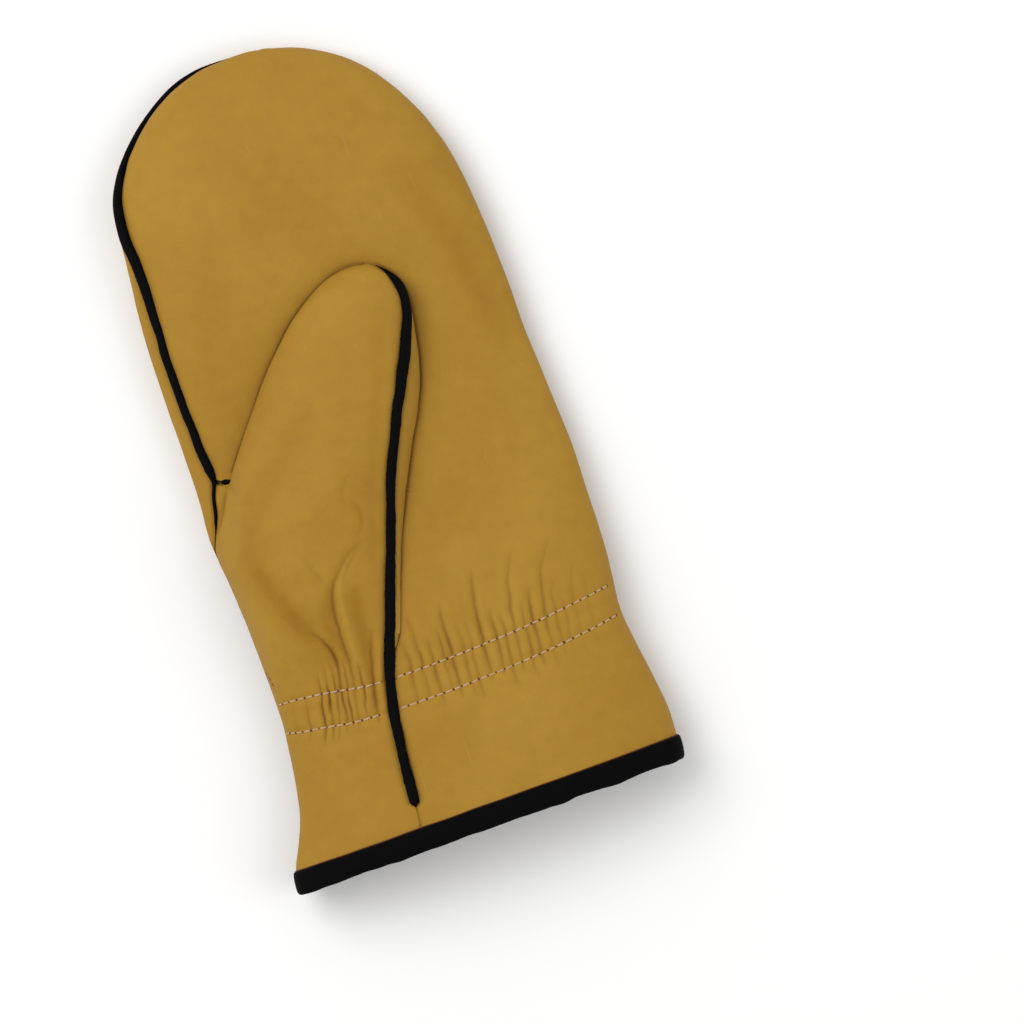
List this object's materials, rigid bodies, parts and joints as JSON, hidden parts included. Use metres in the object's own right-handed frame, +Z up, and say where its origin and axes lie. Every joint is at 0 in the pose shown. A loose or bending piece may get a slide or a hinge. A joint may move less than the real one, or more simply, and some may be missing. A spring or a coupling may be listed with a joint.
{
  "type": "leather mitten",
  "caption": "Left-hand leather mitten lying palm up, with its thumb folded over the palm, piped seams, a gathered wrist and an open, bound cuff.",
  "frame": {"origin": "middle of the outline, on the surface that the mitten lies on", "axes": "+X across, away from the thumb side, +Y from the cuff to the fingertips, +Z up, the way the palm faces"},
  "size_m": [0.1448, 0.2852, 0.0388],
  "materials": {
    "leather": "matte golden tan leather",
    "welt": "matte black piping",
    "binding": "matte black binding tape"
  },
  "bodies": {
    "root": {"hand_panel": "leather", "thumb_front": "leather", "thumb_back": "leather", "hand_welt": "welt", "thumb_welt": "welt", "crotch_welt": "welt", "cuff_binding": "binding"}
  },
  "joints": []
}
